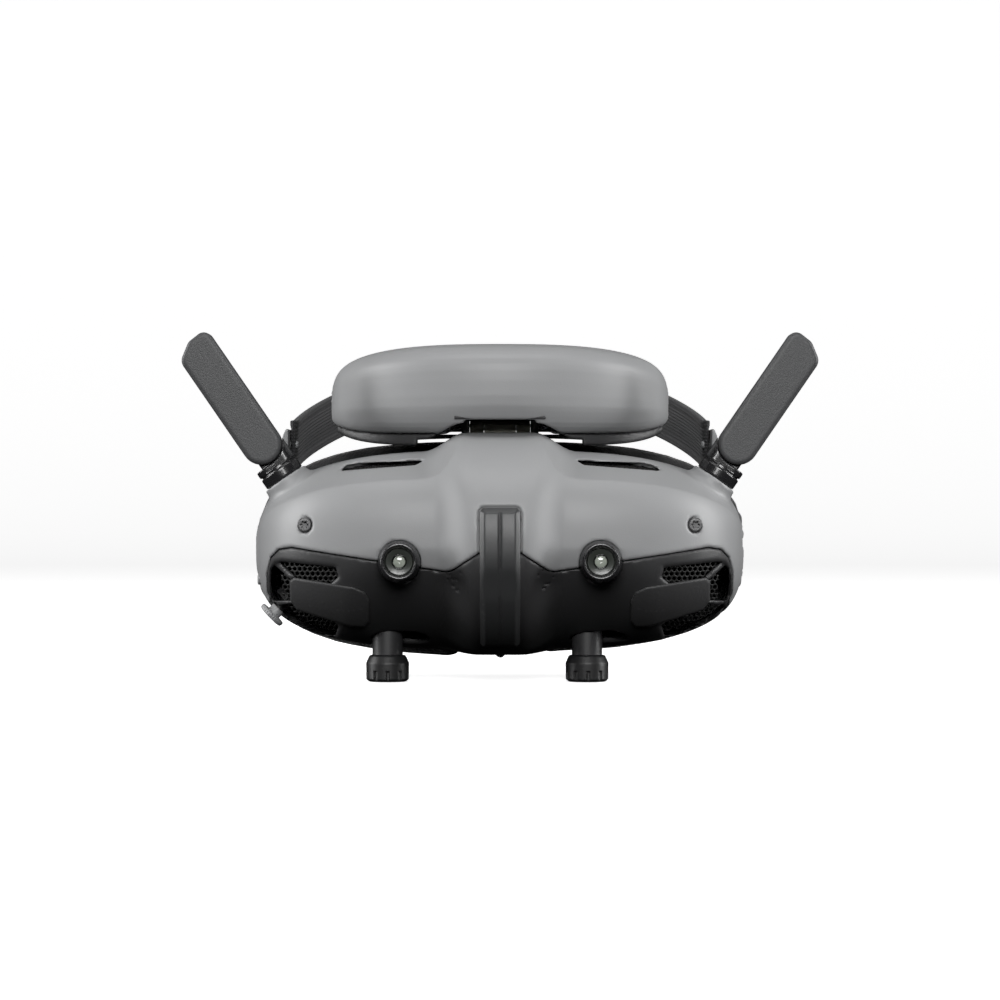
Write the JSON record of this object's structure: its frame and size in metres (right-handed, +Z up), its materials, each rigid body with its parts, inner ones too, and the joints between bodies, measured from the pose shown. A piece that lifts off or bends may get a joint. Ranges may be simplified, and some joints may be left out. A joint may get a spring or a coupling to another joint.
{
  "type": "fpv goggles",
  "caption": "Compact head-worn video goggles: curved two-tone shell with paired cameras, folding side antennas, tilting forehead battery pad, sliding focusable eyepieces and an elastic band.",
  "frame": {"origin": "middle of the overall box in X and Y, on the plane that the focus knobs rest on", "axes": "+X to the right as seen from the front, -Y is the front with the cameras, +Y is the wearer's side, +Z up"},
  "size_m": [0.206, 0.196, 0.113],
  "materials": {
    "grey_shell": "fine satin texture",
    "black_shell": "fine satin texture",
    "bar_plastic": "satin",
    "panel_plastic": "coarse grained",
    "vent_mesh": "perforated, black",
    "gloss_black": "gloss",
    "camera_glass": "gloss",
    "screw_steel": "blackened steel",
    "foam": "soft foam under black fabric",
    "mask_fabric": "matt black",
    "steel": "ground",
    "circuit_board": "solder mask",
    "aluminium": "extruded",
    "black_plastic": "moulded",
    "hinge_metal": "dark bronze anodised",
    "cell_wrap": "shrink wrap",
    "anchor_plastic": "satin",
    "band_fabric": "ribbed elastic weave",
    "antenna_plastic": "fine texture",
    "display_glass": "gloss",
    "lens_glass": "coated",
    "knob_plastic": "satin, notched grip"
  },
  "bodies": {
    "housing": {"front_shell": "grey_shell", "lower_shell": "black_shell", "rear_frame": "black_shell", "center_bar": "bar_plastic", "left_intake_panel": "panel_plastic", "right_intake_panel": "panel_plastic", "vent_meshes": "vent_mesh", "left_camera_ring": "gloss_black", "right_camera_ring": "gloss_black", "left_camera_module": "camera_glass", "right_camera_module": "camera_glass", "shell_screws": "screw_steel", "face_foam": "foam", "light_shield": "mask_fabric", "guide_rails": "steel", "mainboard": "circuit_board", "heatsink": "aluminium", "fan_housing": "black_plastic", "proximity_sensor": "gloss_black", "usb_port": "steel", "card_slot": "steel", "hinge_lower_leaf": "hinge_metal", "hinge_pin": "steel", "left_strap_anchor": "anchor_plastic", "right_strap_anchor": "anchor_plastic", "headband": "band_fabric", "strap_adjuster": "black_plastic"},
    "fan": {"fan_impeller": "black_plastic"},
    "pad": {"hinge_upper_leaf": "hinge_metal", "pad_shell": "grey_shell", "pad_inner_shell": "black_shell", "pad_cushion": "foam", "battery_cells": "cell_wrap"},
    "gimbal": {"joystick_gimbal": "black_plastic"},
    "stick": {"joystick_stem": "black_plastic"},
    "stick_cap": {"joystick_button": "grey_shell"},
    "back_key": {"back_button": "grey_shell"},
    "power_key": {"power_button": "grey_shell"},
    "left_collar": {"left_antenna_collar": "gloss_black", "left_antenna_pin": "steel"},
    "left_blade": {"left_antenna_front_cover": "antenna_plastic", "left_antenna_rear_cover": "antenna_plastic", "left_antenna_board": "circuit_board"},
    "left_eyepiece": {"left_carriage": "black_plastic", "left_display": "display_glass"},
    "left_lens": {"left_lens_barrel": "black_plastic", "left_eye_lens": "lens_glass"},
    "left_stem": {"left_knob_stem": "black_plastic"},
    "left_knob": {"left_focus_knob": "knob_plastic"},
    "right_collar": {"right_antenna_collar": "gloss_black", "right_antenna_pin": "steel"},
    "right_blade": {"right_antenna_front_cover": "antenna_plastic", "right_antenna_rear_cover": "antenna_plastic", "right_antenna_board": "circuit_board"},
    "right_eyepiece": {"right_carriage": "black_plastic", "right_display": "display_glass"},
    "right_lens": {"right_lens_barrel": "black_plastic", "right_eye_lens": "lens_glass"},
    "right_stem": {"right_knob_stem": "black_plastic"},
    "right_knob": {"right_focus_knob": "knob_plastic"}
  },
  "joints": [
    {"name": "fan_spin", "type": "hinge", "parent": "housing", "child": "fan", "pos_m": [0, -0.082, 0.046], "axis": [0, 1, 0], "continuous": true},
    {"name": "pad_tilt", "type": "hinge", "parent": "housing", "child": "pad", "pos_m": [0, -0.0464, 0.0822], "axis": [-1, 0, 0], "range_deg": [0, 14]},
    {"name": "left_antenna_swivel", "type": "hinge", "parent": "housing", "child": "left_collar", "pos_m": [-0.0696, -0.053, 0.0657], "axis": [-0.5664, 0, 0.8241], "range_deg": [0, 90]},
    {"name": "left_antenna_fold", "type": "hinge", "parent": "left_collar", "child": "left_blade", "pos_m": [-0.07713, -0.053, 0.07666], "axis": [0, -1, 0], "range_deg": [0, 90]},
    {"name": "left_ipd_slide", "type": "slide", "parent": "housing", "child": "left_eyepiece", "axis": [1, 0, 0], "range_m": [0, 0.008]},
    {"name": "left_knob_push", "type": "slide", "parent": "left_eyepiece", "child": "left_stem", "axis": [0, 0, 1], "range_m": [0, 0.0015]},
    {"name": "left_knob_turn", "type": "hinge", "parent": "left_stem", "child": "left_knob", "pos_m": [-0.0363, -0.058, 0], "axis": [0, 0, -1], "range_deg": [-120, 120]},
    {"name": "left_lens_focus", "type": "slide", "parent": "left_eyepiece", "child": "left_lens", "axis": [0, 1, 0], "range_m": [-0.00199, 0.00199]},
    {"name": "right_antenna_swivel", "type": "hinge", "parent": "housing", "child": "right_collar", "pos_m": [0.0696, -0.053, 0.0657], "axis": [-0.5664, 0, -0.8241], "range_deg": [0, 90]},
    {"name": "right_antenna_fold", "type": "hinge", "parent": "right_collar", "child": "right_blade", "pos_m": [0.07713, -0.053, 0.07666], "axis": [0, 1, 0], "range_deg": [0, 90]},
    {"name": "right_ipd_slide", "type": "slide", "parent": "housing", "child": "right_eyepiece", "axis": [1, 0, 0], "range_m": [0, 0.008]},
    {"name": "right_knob_push", "type": "slide", "parent": "right_eyepiece", "child": "right_stem", "axis": [0, 0, 1], "range_m": [0, 0.0015]},
    {"name": "right_knob_turn", "type": "hinge", "parent": "right_stem", "child": "right_knob", "pos_m": [0.0281, -0.058, 0], "axis": [0, 0, -1], "range_deg": [-120, 120]},
    {"name": "right_lens_focus", "type": "slide", "parent": "right_eyepiece", "child": "right_lens", "axis": [0, 1, 0], "range_m": [-0.00199, 0.00199]},
    {"name": "stick_fore_aft", "type": "hinge", "parent": "housing", "child": "gimbal", "pos_m": [-0.06862, -0.052, 0.02678], "axis": [0, 1, 0], "range_deg": [-6, 6], "stiffness_Nm_per_rad": 0.05},
    {"name": "stick_side", "type": "hinge", "parent": "gimbal", "child": "stick", "pos_m": [-0.06862, -0.052, 0.02678], "axis": [-0.6947, 0, 0.7193], "range_deg": [-6, 6], "stiffness_Nm_per_rad": 0.05},
    {"name": "stick_press", "type": "slide", "parent": "stick", "child": "stick_cap", "axis": [0.7193, 0, 0.6947], "range_m": [0, 0.0003], "stiffness_N_per_m": 3000},
    {"name": "back_press", "type": "slide", "parent": "housing", "child": "back_key", "axis": [1, 0, 0], "range_m": [0, 0.0004], "stiffness_N_per_m": 3000},
    {"name": "power_press", "type": "slide", "parent": "housing", "child": "power_key", "axis": [-1, 0, 0], "range_m": [0, 0.0005], "stiffness_N_per_m": 3000}
  ],
  "couplings": [
    {"joint": "left_knob_turn", "follows": "left_lens_focus", "rad_per_m": 1050},
    {"joint": "right_knob_turn", "follows": "right_lens_focus", "rad_per_m": 1050}
  ]
}
